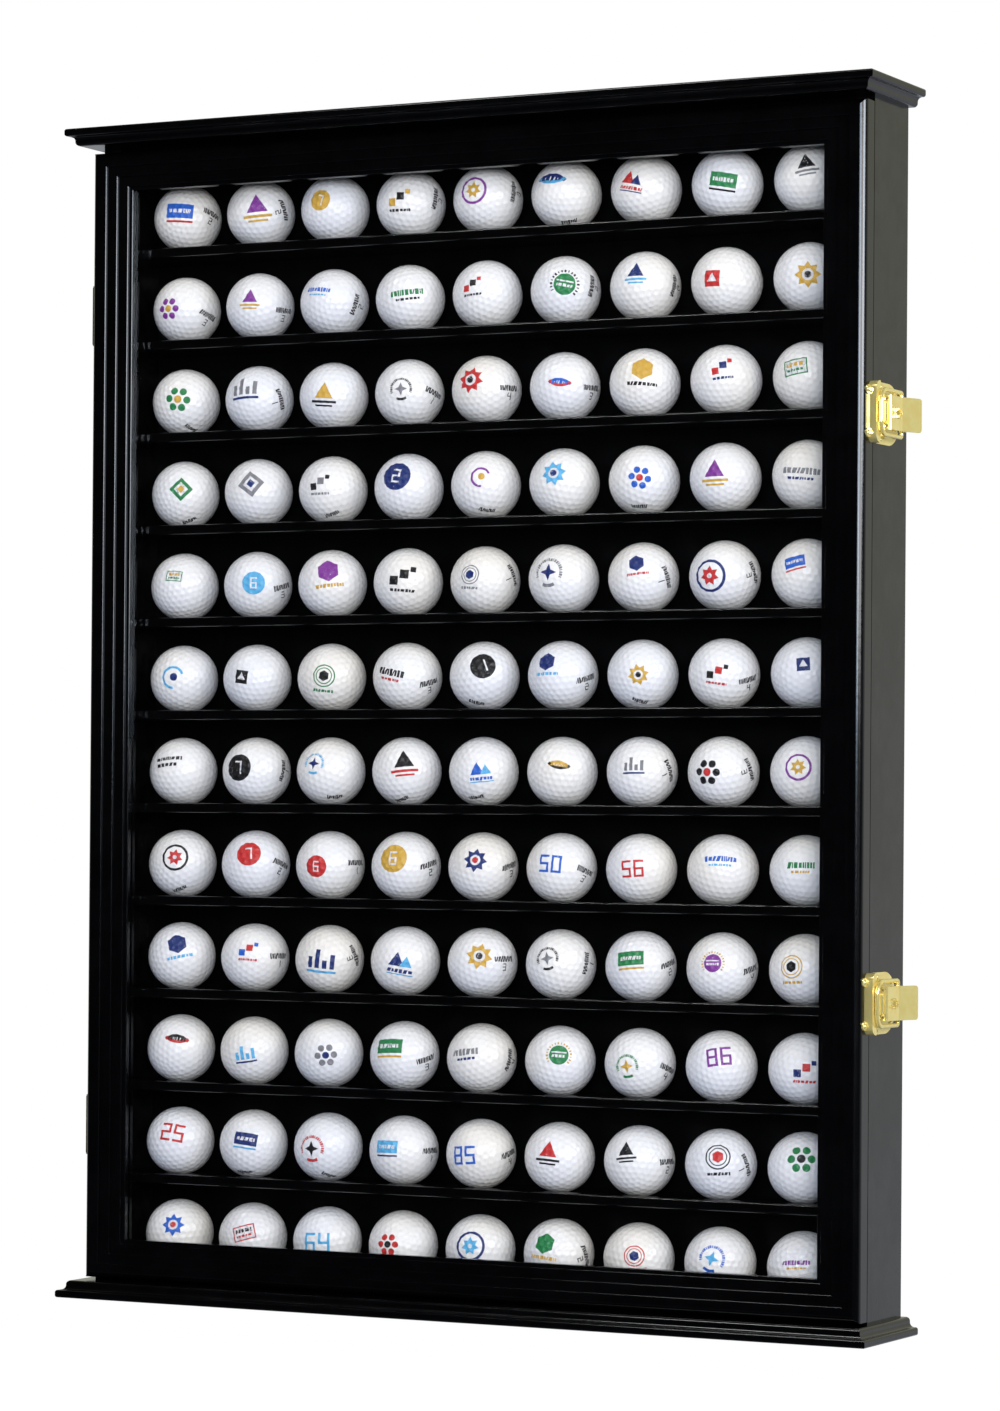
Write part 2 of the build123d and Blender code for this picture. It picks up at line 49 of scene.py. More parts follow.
COLUMNS, ROWS = 9, 12
COLUMN_PITCH, ROW_PITCH = 53.35 * MM, 58.1 * MM

ball_low, ball_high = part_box("golf_balls")
BALL_Y = (ball_low.y + ball_high.y) / 2
BALL_X0, BALL_Z0 = ball_low.x + BALL_RADIUS, ball_low.z + BALL_RADIUS


# ------------------------------------------------------------------ materials

class Nodes:
    """The node tree of a material or of the world, with short calls for the nodes used here."""

    def __init__(self, owner, output="ShaderNodeOutputMaterial", coordinates="Object"):
        self.owner = owner
        owner.use_nodes = True
        self.tree = owner.node_tree
        self.tree.nodes.clear()
        self.out = self.add(output)
        self.coords = self.add("ShaderNodeTexCoord").outputs[coordinates]

    def add(self, kind, **values):
        node = self.tree.nodes.new(kind)
        for key, value in values.items():
            if hasattr(node, key):
                setattr(node, key, value)
            else:
                node.inputs[key].default_value = value
        return node

    def link(self, source, target):
        self.tree.links.new(source, target)

    def scaled(self, scale):
        """The object's coordinates stretched along its axes."""
        mapping = self.add("ShaderNodeMapping")
        mapping.inputs["Scale"].default_value = scale
        self.link(self.coords, mapping.inputs["Vector"])
        return mapping.outputs["Vector"]

    def noise(self, vector, scale, detail=3.0, roughness=0.5):
        node = self.add("ShaderNodeTexNoise")
        node.inputs["Scale"].default_value = scale
        node.inputs["Detail"].default_value = detail
        node.inputs["Roughness"].default_value = roughness
        self.link(vector, node.inputs["Vector"])
        return node.outputs["Fac"]

    def span(self, value, low, high, start=0.0, end=1.0):
        """Maps value from low..high to start..end."""
        node = self.add("ShaderNodeMapRange")
        limits = {"From Min": low, "From Max": high, "To Min": start, "To Max": end}
        for key, limit in limits.items():
            node.inputs[key].default_value = limit
        self.link(value, node.inputs["Value"])
        return node.outputs["Result"]

    def ramp(self, value, *stops):
        """A colour ramp of (position, colour) stops."""
        node = self.add("ShaderNodeValToRGB")
        ramp = node.color_ramp
        while len(ramp.elements) < len(stops):
            ramp.elements.new(0.5)
        for element, (position, colour) in zip(ramp.elements, stops):
            element.position = position
            element.color = (*colour, 1.0)
        self.link(value, node.inputs["Fac"])
        return node.outputs["Color"]

    def blend(self, factor, tone, colour):
        """The linked colour tone, turning into one fixed colour as factor goes from 0 to 1."""
        node = self.add("ShaderNodeMix", data_type="RGBA")
        self.link(factor, node.inputs["Factor"])
        self.link(tone, node.inputs[6])
        node.inputs[7].default_value = (*colour, 1)
        return node.outputs[2]

    def mix(self, factor, first, second):
        """The first shader where factor is 0, and the second where it is 1."""
        node = self.add("ShaderNodeMixShader")
        for socket, source in zip(node.inputs, (factor, first, second)):
            self.link(source, socket)
        return node.outputs[0]

    def bump(self, height, distance, strength=1.0, normal=None):
        node = self.add("ShaderNodeBump")
        node.inputs["Strength"].default_value = strength
        node.inputs["Distance"].default_value = distance
        self.link(height, node.inputs["Height"])
        if normal is not None:
            self.link(normal, node.inputs["Normal"])
        return node.outputs["Normal"]

    def principled(self, **values):
        shader = self.add("ShaderNodeBsdfPrincipled")
        for key, value in values.items():
            shader.inputs[key.replace("_", " ")].default_value = value
        self.link(shader.outputs[0], self.out.inputs["Surface"])
        return shader


# |X| up to which the lacquer is left dull inside the case, and from which it is polished.
DULL_X, POLISHED_X = 259 * MM, 262 * MM


def lacquer(name, grain, gloss=0.09, rubbed_tone=(0.0013, 0.0013, 0.0015), dull_inside=False,
            shine=0.5):
    """Black lacquer on wood: the pores show faintly along the grain, with haze, fine dust and
    rubbed patches. The faces inside the case can be left unpolished."""
    n = Nodes(bpy.data.materials.new(name))
    shader = n.principled(IOR=1.5, Specular_IOR_Level=shine, Specular_Tint=(0.90, 0.95, 1.0, 1))
    along, across = 6.0, 170.0
    grained = n.scaled([along if axis == grain else across for axis in "XYZ"])
    pores = n.noise(grained, 1.0, 4.0, 0.6)
    haze = n.noise(n.coords, 22.0, 3.0, 0.6)
    dust = n.noise(n.coords, 900.0, 2.0, 0.5)
    rubbed = n.add("ShaderNodeMath", operation="MULTIPLY")
    n.link(haze, rubbed.inputs[0])
    n.link(n.noise(n.coords, 85.0, 4.0, 0.65), rubbed.inputs[1])
    tone = n.ramp(rubbed.outputs[0], (0.19, (0.0007, 0.0007, 0.0009)), (0.33, rubbed_tone))
    dusty = n.blend(n.span(dust, 0.74, 0.80), tone, (0.012, 0.012, 0.012))
    n.link(dusty, shader.inputs["Base Color"])
    n.link(n.span(pores, 0.3, 0.7, gloss, gloss + 0.07), shader.inputs["Roughness"])
    if dull_inside:
        split = n.add("ShaderNodeSeparateXYZ")
        n.link(n.coords, split.inputs[0])
        outward = n.add("ShaderNodeMath", operation="ABSOLUTE")
        n.link(split.outputs["X"], outward.inputs[0])
        polish = n.span(outward.outputs[0], DULL_X, POLISHED_X, 0.06, shine)
        n.link(polish, shader.inputs["Specular IOR Level"])
    low = n.bump(pores, 0.00006, 0.55)
    n.link(n.bump(n.noise(n.coords, 240.0, 2.0), 0.00008, 0.35, low), shader.inputs["Normal"])
    return n.owner


def brass(name, clean, stain, gloss):
    """Lacquered brass with light tarnish and polishing marks."""
    n = Nodes(bpy.data.materials.new(name))
    shader = n.principled(Metallic=0.68)
    spots = n.noise(n.coords, 160.0, 4.0, 0.65)
    fine = n.noise(n.scaled((1400.0, 1400.0, 90.0)), 1.0, 2.0)
    n.link(n.ramp(spots, (0.35, clean), (0.72, stain)), shader.inputs["Base Color"])
    n.link(n.span(spots, 0.35, 0.75, gloss, gloss + 0.16), shader.inputs["Roughness"])
    n.link(n.bump(fine, 0.00003, 0.4), shader.inputs["Normal"])
    return n.owner


def cover():
    """The balls' painted cover: a white that goes from warm to cool over the ball, with scuffs."""
    n = Nodes(bpy.data.materials.new("ball_cover"))
    shader = n.principled(IOR=1.48)
    broad = n.noise(n.coords, 13.0, 1.0)
    scuff = n.noise(n.coords, 420.0, 4.0, 0.7)
    tone = n.ramp(broad, (0.34, (0.86, 0.835, 0.79)), (0.45, (0.87, 0.862, 0.85)),
                  (0.66, (0.83, 0.84, 0.875)))
    scuffed = n.blend(n.span(scuff, 0.66, 0.78, 0.0, 0.5), tone, (0.62, 0.61, 0.60))
    n.link(scuffed, shader.inputs["Base Color"])
    n.link(n.span(scuff, 0.3, 0.8, 0.20, 0.34), shader.inputs["Roughness"])
    return n.owner


def ink(name, colour):
    """Printing ink, slightly uneven."""
    n = Nodes(bpy.data.materials.new(name))
    shader = n.principled(IOR=1.45)
    wear = n.noise(n.coords, 1500.0, 3.0, 0.6)
    pale = tuple(c + (0.75 - c) * 0.35 for c in colour)
    n.link(n.ramp(wear, (0.62, colour), (0.78, pale)), shader.inputs["Base Color"])
    n.link(n.span(wear, 0.3, 0.7, 0.3, 0.45), shader.inputs["Roughness"])
    return n.owner


def glass():
    """A clear pane with a faint uneven reflection."""
    n = Nodes(bpy.data.materials.new("glass"))
    clear = n.add("ShaderNodeBsdfTransparent", Color=(0.985, 0.985, 0.98, 1)).outputs[0]
    shine = n.add("ShaderNodeBsdfGlossy", Color=(0.9, 0.93, 0.95, 1))
    smear = n.noise(n.scaled((9.0, 9.0, 5.0)), 1.0, 4.0, 0.6)
    n.link(n.span(smear, 0.3, 0.8, 0.02, 0.07), shine.inputs["Roughness"])
    fresnel = n.add("ShaderNodeFresnel", IOR=1.45)
    front = n.mix(fresnel.outputs[0], clear, shine.outputs[0])
    backfacing = n.add("ShaderNodeNewGeometry").outputs["Backfacing"]
    n.link(n.mix(backfacing, front, clear), n.out.inputs["Surface"])
    return n.owner


def plain(name, dark, light, roughness, metallic=0.0, scale=300.0, shine=0.5):
    """A surface that varies between two colours, for small dark parts."""
    n = Nodes(bpy.data.materials.new(name))
    shader = n.principled(Metallic=metallic, Specular_IOR_Level=shine)
    value = n.noise(n.coords, scale, 4.0, 0.6)
    n.link(n.ramp(value, (0.35, dark), (0.7, light)), shader.inputs["Base Color"])
    n.link(n.span(value, 0.3, 0.7, roughness, roughness + 0.12), shader.inputs["Roughness"])
    n.link(n.bump(value, 0.00004, 0.4), shader.inputs["Normal"])
    return n.owner


LACQUER_X = lacquer("lacquer_x", "X")
LACQUER_Z = lacquer("lacquer_z", "Z", shine=0.62)
SHELF = lacquer("lacquer_shelf", "X", 0.07)
SIDE = lacquer("lacquer_side", "Z", 0.11, (0.0065, 0.0065, 0.0062), True)
TOP = lacquer("lacquer_top", "X", 0.30, dull_inside=True)
PANEL = plain("back_board", (0.0008, 0.0008, 0.0011), (0.0018, 0.0018, 0.0022), 0.30, 0.0, 60.0,
              0.15)
BRASS = brass("brass", (1.0, 0.89, 0.36), (0.95, 0.76, 0.25), 0.08)
OLD_BRASS = brass("aged_brass", (0.22, 0.17, 0.08), (0.10, 0.08, 0.045), 0.32)
STEEL = plain("black_steel", (0.03, 0.03, 0.032), (0.07, 0.07, 0.075), 0.38, 1.0)
FELT = plain("black_felt", (0.003, 0.003, 0.0035), (0.010, 0.010, 0.011), 0.85, 0.0, 1200.0, 0.1)
RUBBER = plain("bumper_rubber", (0.012, 0.012, 0.012), (0.03, 0.03, 0.03), 0.75)
COVER = cover()
GLASS = glass()

INKS = {name: ink("ink_" + name, colour) for name, colour in {
    "black": (0.012, 0.012, 0.014), "navy": (0.012, 0.03, 0.16), "blue": (0.02, 0.12, 0.55),
    "sky": (0.10, 0.42, 0.72), "red": (0.55, 0.03, 0.03), "green": (0.02, 0.22, 0.07),
    "gold": (0.62, 0.38, 0.06), "plum": (0.22, 0.04, 0.30), "grey": (0.22, 0.22, 0.24),
    "white": (0.74, 0.74, 0.76),
}.items()}

# The finish of each node, by the start of its name. All others are lacquered along X.
FINISHES = {
    "glass_pane": GLASS, "back_panel": PANEL, "latch": BRASS, "hinge": OLD_BRASS, "hanger": STEEL,
    "door_bumpers": RUBBER, "shelf": SHELF, "case_floor": SHELF, "side": SIDE, "case_top": TOP,
    "door_stile": LACQUER_Z,
}

for name, node in nodes.items():
    finishes = [material for start, material in FINISHES.items() if name.startswith(start)]
    node.data.materials.clear()
    node.data.materials.append(finishes[0] if finishes else LACQUER_X)

# ------------------------------------------------------------------ golf balls


def geodesic(n):
    """An icosahedron whose edges are cut into n: points on the unit sphere, triangles, and where
    each triangle's corners lie in a flat layout of 10 squares, two of the 20 faces in each."""
    margin, side = 0.03, 0.9
    bm = bmesh.new()
    bmesh.ops.create_icosphere(bm, subdivisions=1, radius=1.0)
    corners = np.array([v.co for v in bm.verts])
    faces = [[v.index for v in f.verts] for f in bm.faces]
    bm.free()
    points, triangles, layout = [], [], []
    for face, (a, b, c) in enumerate(faces):
        index, flat = {}, {}
        for i in range(n + 1):
            for j in range(n + 1 - i):
                index[i, j] = len(points)
                points.append((corners[a] * (n - i - j) + corners[b] * i + corners[c] * j) / n)
                u, v = margin + side * i / n, margin + side * j / n
                if face % 2:
                    u, v = 1 - u, 1 - v
                flat[i, j] = (face // 2 + u, v)
        for i in range(n):
            for j in range(n - i):
                cells = [((i, j), (i + 1, j), (i, j + 1))]
                if i + j < n - 1:
                    cells.append(((i + 1, j), (i + 1, j + 1), (i, j + 1)))
                for cell in cells:
                    triangles.append([index[corner] for corner in cell])
                    layout.append([flat[corner] for corner in cell])
    points = np.array(points)
    points /= np.linalg.norm(points, axis=1)[:, None]
    _, first, back = np.unique(np.round(points, 6), axis=0, return_index=True, return_inverse=True)
    return points[first], back.reshape(-1)[np.array(triangles)], np.array(layout)


DIMPLES = geodesic(6)[0]
DIMPLE_RADIUS = 1.95 * MM
DIMPLE_DEPTH = 0.50 * MM
BATCH = 20000  # directions compared with the dimples at a time, to save memory
SPHERE_POINTS, SPHERE_FACES, SPHERE_LAYOUT = geodesic(24)


def radii(directions, turn):
    """The cover's radius along each direction, for a ball whose dimples are turned by turn."""
    nearest = np.full(len(directions), -1.0)
    local = directions @ turn
    for start in range(0, len(local), BATCH):
        part = local[start:start + BATCH]
        nearest[start:start + BATCH] = (part @ DIMPLES.T).max(axis=1)
    angle = np.arccos(np.clip(nearest, -1, 1)) * BALL_RADIUS / DIMPLE_RADIUS
    return BALL_RADIUS - DIMPLE_DEPTH * np.clip(1 - angle ** 2, 0, None)


def random_turn(rng):
    """A rotation matrix, even over all directions."""
    q = rng.normal(size=4)
    w, x, y, z = q / np.linalg.norm(q)
    return np.array([
        [1 - 2 * (y * y + z * z), 2 * (x * y - z * w), 2 * (x * z + y * w)],
        [2 * (x * y + z * w), 1 - 2 * (x * x + z * z), 2 * (y * z - x * w)],
        [2 * (x * z - y * w), 2 * (y * z + x * w), 1 - 2 * (x * x + y * y)]])


def mesh_object(name, points, faces, materials, indices=None, smooth=True, layout=None):
    """A mesh from arrays of points and triangles, and of each corner's place in the UV map."""
    mesh = bpy.data.meshes.new(name)
    mesh.vertices.add(len(points))
    mesh.vertices.foreach_set("co", np.asarray(points, np.float32).ravel())
    mesh.loops.add(len(faces) * 3)
    mesh.loops.foreach_set("vertex_index", np.asarray(faces, np.int32).ravel())
    mesh.polygons.add(len(faces))
    mesh.polygons.foreach_set("loop_start", np.arange(len(faces), dtype=np.int32) * 3)
    for material in materials:
        mesh.materials.append(material)
    if indices is not None:
        mesh.polygons.foreach_set("material_index", np.asarray(indices, np.int32))
    mesh.polygons.foreach_set("use_smooth", np.full(len(faces), smooth))
    if layout is not None:
        uv = mesh.uv_layers.new(name="UVMap")
        uv.data.foreach_set("uv", np.asarray(layout, np.float32).ravel())
    mesh.update(calc_edges=True)
    ob = bpy.data.objects.new(name, mesh)
    bpy.context.scene.collection.objects.link(ob)
    return ob


# ------------------------------------------------------------------ prints on the balls
# Each shape is a list of outlines, and each motif a list of (ink, shape), in millimetres on the
# ball's surface.

def ring(outer, inner, cx=0.0, cy=0.0, start=0.0, sweep=360.0, steps=28):
    """A ring, or an arc of one, as small four-sided pieces."""
    out = []
    for k in range(steps):
        a, b = (math.radians(start + sweep * i / steps) for i in (k, k + 1))
        out.append([(cx + r * math.cos(t), cy + r * math.sin(t))
                    for r, t in ((outer, a), (outer, b), (inner, b), (inner, a))])
    return out


def disc(radius, cx=0.0, cy=0.0, steps=20):
    """A disc, as a ring whose hole is too small to see."""
    return ring(radius, 0.001, cx, cy, steps=steps)


def bar(width, height, cx=0.0, cy=0.0, slant=0.0):
    """A bar, whose ends lean by slant."""
    w, h = width / 2, height / 2
    return [[(cx - w - slant * h, cy - h), (cx + w - slant * h, cy - h),
             (cx + w + slant * h, cy + h), (cx - w + slant * h, cy + h)]]


def polygon(sides, radius, cx=0.0, cy=0.0, turn=90.0, inner=None):
    """A regular polygon, or a star if inner is given, as triangles about its middle."""
    count = sides * (2 if inner else 1)
    tips = []
    for k in range(count):
        r = inner if inner and k % 2 else radius
        t = math.radians(turn + 360.0 * k / count)
        tips.append((cx + r * math.cos(t), cy + r * math.sin(t)))
    return [[(cx, cy), tips[k], tips[(k + 1) % count]] for k in range(count)]


# The bars of each numeral: a, g and d lie from top to bottom, f and e stand on the left, b and c on
# the right.
SEGMENTS = {"0": "abcdef", "1": "bc", "2": "abged", "3": "abgcd", "4": "fgbc", "5": "afgcd",
            "6": "afgedc", "7": "abc", "8": "abcdefg", "9": "abcdfg"}


def number(text, size, cx=0.0, cy=0.0):
    """Plain numerals built from bars."""
    w, h, t = size * 0.52, size, size * 0.15
    pitch = size * 0.85
    places = {"a": (w, t, 0, h / 2), "g": (w, t, 0, 0), "d": (w, t, 0, -h / 2),
              "b": (t, h / 2, w / 2, h / 4), "c": (t, h / 2, w / 2, -h / 4),
              "f": (t, h / 2, -w / 2, h / 4), "e": (t, h / 2, -w / 2, -h / 4)}
    out = []
    for k, digit in enumerate(text):
        x = cx + (k - (len(text) - 1) / 2) * pitch
        for key in SEGMENTS[digit]:
            bw, bh, bx, by = places[key]
            lying = key in "agd"
            out += bar(bw + t * lying, bh + t * (not lying), x + bx, cy + by)
    return out


def dashes(rng, width, height, cx=0.0, cy=0.0):
    """A row of short bars of uneven length, in place of small print."""
    out, x = [], cx - width / 2
    while x < cx + width / 2 - 0.4:
        step = min(rng.uniform(0.5, 1.7), cx + width / 2 - x)
        out += bar(step * 0.72, height * rng.uniform(0.75, 1.0), x + step / 2, cy,
                   rng.choice((0.0, 0.0, 0.3)))
        x += step
    return out


def ticks(radius, count, start, sweep, length=1.0, width=0.45, cx=0.0, cy=0.0):
    """Short bars standing round an arc."""
    out = []
    for k in range(count):
        t = math.radians(start + sweep * k / max(count - 1, 1))
        c, s = math.cos(t), math.sin(t)
        half = width * (0.35 + 0.15 * (k % 3))
        end = radius + length
        corners = ((radius, -half), (end, -half), (end, half), (radius, half))
        out.append([(cx + r * c - w * s, cy + r * s + w * c) for r, w in corners])
    return out


def motif(rng):
    """One generic print: shapes, stripes or a number, with an ink for each."""
    main, other = rng.choice([
        ("navy", "red"), ("black", "grey"), ("blue", "sky"), ("red", "black"), ("green", "gold"),
        ("sky", "navy"), ("red", "navy"), ("plum", "gold"), ("black", "red"), ("blue", "red"),
        ("green", "black"), ("gold", "black"), ("navy", "sky"), ("grey", "navy"),
        ("black", "black")])
    kind = rng.randrange(22)
    size = rng.uniform(1.5, 2.2)
    if kind == 0:
        shapes = [(main, ring(4.6, 3.8)), (other, polygon(7, 2.8, inner=1.7)), ("white", disc(0.7))]
    elif kind == 1:
        shapes = [(main, disc(4.3)), ("white", number(str(rng.randrange(1, 10)), 3.6))]
    elif kind == 2:
        shapes = [(main, dashes(rng, 11.0, 1.9)), (other, dashes(rng, 8.0, 0.8, 0, -2.1))]
    elif kind == 3:
        shapes = [(main, bar(5.2, 5.2)), ("white", polygon(3, 1.9))]
    elif kind == 4:
        shapes = [(main, polygon(3, 3.6, 0, 0.4)), (other, bar(8.6, 0.8, 0, -2.6)),
                  (other, bar(6.0, 0.6, 0, -3.9))]
    elif kind == 5:
        shapes = [(main, number(str(rng.randrange(10, 100)), 5.0))]
    elif kind == 6:
        shapes = [(main, ring(4.2, 3.3, 0, 0, 20, 250)), (other, disc(1.4, 0.4, 0.2))]
    elif kind == 7:
        shapes = [(main, bar(1.3, height, -3.3 + 2.2 * k, height / 2 - 2.6))
                  for k, height in enumerate((3.2, 5.4, 2.4, 4.2))]
        shapes += [(other, bar(9.0, 0.7, 0, -3.6))]
    elif kind == 8:
        shapes = [(main, polygon(4, 4.0)), ("white", polygon(4, 2.4)), (other, polygon(4, 1.3))]
    elif kind == 9:
        shapes = [(main, bar(2.6, 2.6, -2.6, -1.4)), (other, bar(2.6, 2.6, 0.4, 0.6)),
                  (main, bar(1.6, 1.6, 2.9, 2.2)), (other, dashes(rng, 8.0, 1.0, 0, -4.2))]
    elif kind == 10:
        shapes = [(main, polygon(6, 3.3, -0.2, 1.0)), (other, dashes(rng, 9.0, 1.1, 0, -3.4))]
    elif kind == 11:
        shapes = [(main, ring(7.4, 6.3, 0, -5.0, 50, 80)), (other, ring(7.4, 6.3, 0, 6.4, 230, 80)),
                  (main, dashes(rng, 7.0, 1.5, 0, 0.7))]
    elif kind == 12:
        shapes = [(main, disc(1.15, 2.9 * math.cos(t), 2.9 * math.sin(t)))
                  for t in np.arange(6) * math.pi / 3]
        shapes += [(other, disc(1.2))]
    elif kind == 13:
        shapes = [(main, bar(8.4, 4.4, 0, 0.4)), ("white", dashes(rng, 6.8, 1.4, 0, 0.4)),
                  (other, bar(8.4, 0.6, 0, -2.8))]
    elif kind == 14:
        shapes = [(main, polygon(8, 4.4, inner=2.9)), ("white", disc(1.9)), (other, disc(1.1))]
    elif kind == 15:
        shapes = [(main, ticks(3.3, 22, 200, -220, 0.9)), (main, ticks(3.3, 9, 245, 50, 0.9)),
                  (other, polygon(4, 2.4, inner=1.0))]
    elif kind == 16:
        shapes = [(main, disc(3.4)), ("white", bar(5.2, 0.5, 0, 0.9)),
                  ("white", dashes(rng, 5.0, 1.0, 0, -0.4)),
                  (other, ticks(3.8, 18, 215, -250, 0.8))]
    elif kind == 17:
        shapes = [(main, polygon(3, 2.8, -1.4, 0)), (other, polygon(3, 2.2, 1.5, -0.3)),
                  (main, dashes(rng, 8.2, 1.2, 0, -2.8)), (other, bar(8.2, 0.35, 0, -3.9))]
    elif kind == 18:
        shapes = [(main, ring(3.6, 3.2)), (main, ring(2.6, 2.3)), (other, polygon(6, 1.7)),
                  (main, dashes(rng, 7.0, 1.0, 0, -4.8))]
    elif kind == 19:
        shapes = [(main, dashes(rng, 9.0, 2.2, 0, 1.2)), (other, dashes(rng, 6.4, 0.8, 0, -0.9))]
    elif kind == 20:
        shapes = [(main, bar(7.0, 4.6)), ("white", bar(6.3, 3.9)),
                  (other, dashes(rng, 5.2, 1.3, 0, 0.7)), (main, dashes(rng, 5.2, 0.8, 0, -0.9))]
    else:
        shapes = [(main, dashes(rng, 9.5, 1.3, 0, 0.9)), (main, dashes(rng, 7.5, 1.3, -0.6, -1.2))]
    return [(ink_name, [[(x * size, y * size) for x, y in poly] for poly in polys])
            for ink_name, polys in shapes]


def pieces_of(polys, limit=0.85):
    """Cuts outlines into triangles with no edge longer than limit."""
    todo = []
    for poly in polys:
        for k in range(1, len(poly) - 1):
            todo.append((poly[0], poly[k], poly[k + 1]))
    done = []
    while todo:
        tri = todo.pop()
        sides = [math.dist(tri[k], tri[(k + 1) % 3]) for k in range(3)]
        k = int(np.argmax(sides))
        if sides[k] <= limit:
            done.append(tri)
            continue
        a, b, c = tri[k], tri[(k + 1) % 3], tri[(k + 2) % 3]
        mid = ((a[0] + b[0]) / 2, (a[1] + b[1]) / 2)
        todo += [(a, mid, c), (mid, b, c)]
    return done


def on_ball(triangles, centre, facing, spin, turn, lift):
    """Wraps flat triangles onto a ball's cover, centred on the direction facing."""
    flat = np.array(triangles).reshape(-1, 2) * MM
    c, s = math.cos(spin), math.sin(spin)
    flat = flat @ np.array([[c, s], [-s, c]])
    f = np.array(facing) / np.linalg.norm(facing)
    right = np.cross((0, 0, 1.0), f)
    right = right / np.linalg.norm(right)
    up = np.cross(f, right)
    r = np.linalg.norm(flat, axis=1)
    angle = r / BALL_RADIUS
    unit = flat / np.maximum(r, 1e-12)[:, None]
    outward = unit[:, :1] * right + unit[:, 1:] * up
    d = np.cos(angle)[:, None] * f + np.sin(angle)[:, None] * outward
    return centre + d * (radii(d, turn) + lift)[:, None]


COVER_SEED, PRINT_SEED = 100, 500
SIDE_MARK_SHARE, LOW_MARK_SHARE = 0.45, 0.3
PRINT_LIFT, LAYER_LIFT = 0.06 * MM, 0.02 * MM
INK_ORDER = list(INKS)


def prints_of_ball(pick):
    """A ball's prints: the shapes of each, the direction it faces (side, rise) and its spin."""
    side = math.radians(pick.uniform(-4, 24))
    rise = math.radians(pick.uniform(-2, 20))
    prints = [(motif(pick), side, rise, math.radians(pick.gauss(0, 7)))]
    if pick.random() < SIDE_MARK_SHARE:
        shapes = [("black", dashes(pick, 14.0, 3.8)),
                  ("black", number(str(pick.randrange(1, 5)), 3.8, 0, -5.0))]
        prints.append((shapes, math.radians(pick.uniform(66, 82)),
                       math.radians(pick.uniform(-12, 12)),
                       math.radians(pick.choice((-70, -20, 0, 15, 75)))))
    elif pick.random() < LOW_MARK_SHARE:
        shapes = [("black", dashes(pick, 10.0, 3.2))]
        prints.append((shapes, math.radians(pick.uniform(5, 45)),
                       math.radians(pick.uniform(-56, -44)),
                       math.radians(pick.uniform(-50, 50))))
    return prints


def row_of_balls(row):
    """One row's dimpled covers as one piece, and its prints as another."""
    ball_points, ball_faces = [], []
    print_points, print_inks, print_centres = [], [], []
    for column in range(COLUMNS):
        seed = row * COLUMNS + column
        turn = random_turn(np.random.default_rng(COVER_SEED + seed))
        centre = np.array([BALL_X0 + column * COLUMN_PITCH, BALL_Y, BALL_Z0 + row * ROW_PITCH])
        turned = SPHERE_POINTS @ turn.T
        ball_faces.append(SPHERE_FACES + len(ball_points) * len(SPHERE_POINTS))
        ball_points.append(centre + turned * radii(turned, turn)[:, None])
        for shapes, side, rise, spin in prints_of_ball(random.Random(PRINT_SEED + seed)):
            facing = (math.sin(side) * math.cos(rise), -math.cos(side) * math.cos(rise),
                      math.sin(rise))
            for layer, (ink_name, polys) in enumerate(shapes):
                triangles = pieces_of(polys)
                lift = PRINT_LIFT + layer * LAYER_LIFT
                print_points.append(on_ball(triangles, centre, facing, spin, turn, lift))
                print_inks.append(np.full(len(triangles), INK_ORDER.index(ink_name)))
                print_centres.append(np.tile(centre, (len(triangles), 1)))
    layout = np.concatenate([(SPHERE_LAYOUT + (0, column)) / (10, COLUMNS)
                             for column in range(COLUMNS)])
    balls = mesh_object(f"golf_balls_row_{row + 1:02d}", np.concatenate(ball_points),
                        np.concatenate(ball_faces), [COVER], layout=layout)
    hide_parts("golf_balls")
    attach(balls, "case")
    points = np.concatenate(print_points)
    faces = np.arange(len(points)).reshape(-1, 3)
    a, b, c = (points[faces[:, k]] for k in range(3))
    outward = a - np.concatenate(print_centres)
    inside_out = (np.cross(b - a, c - a) * outward).sum(1) < 0
    faces[inside_out] = faces[inside_out][:, ::-1]
    marks = mesh_object(f"ball_prints_row_{row + 1:02d}", points, faces,
                        [INKS[name] for name in INK_ORDER], np.concatenate(print_inks))
    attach(marks, "case")


for row in range(ROWS):
    row_of_balls(row)

# ------------------------------------------------------------------ felt over the hangers' pockets

def felt_patch(name, x, z):
    """A thin patch with round corners, stuck on the back panel's inner face."""
    half_x, half_z, corner, thickness = 8 * MM, 13 * MM, 4 * MM, 0.4 * MM
    steps, step_angle = 6, 15
    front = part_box("back_panel")[0].y
    outline = []
    for cx, cz, start in ((1, 1, 0), (-1, 1, 90), (-1, -1, 180), (1, -1, 270)):
        for k in range(steps + 1):
            t = math.radians(start + step_angle * k)
            outline.append((x + cx * (half_x - corner) + corner * math.cos(t),
                            z + cz * (half_z - corner) + corner * math.sin(t)))
    count = len(outline)
    points = [(px, y, pz) for y in (front - thickness, front) for px, pz in outline]
    faces = [(0, k, k + 1) for k in range(1, count - 1)]
    faces += [(count, count + k + 1, count + k) for k in range(1, count - 1)]
    for k in range(count):
        after = (k + 1) % count
        faces += [(k, count + k, count + after), (k, count + after, after)]
    patch = mesh_object(name, points, faces, [FELT], smooth=False)
    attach(patch, "case")


POCKET_RISE = 16 * MM  # from the hanger's lower end to the middle of its pocket

for side in ("left", "right"):
    hanger_low, hanger_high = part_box(f"hanger_{side}")
    middle_x = (hanger_low.x + hanger_high.x) / 2
    felt_patch(f"pocket_cover_{side}", middle_x, hanger_low.z + POCKET_RISE)

# ------------------------------------------------------------------ floor, light and camera

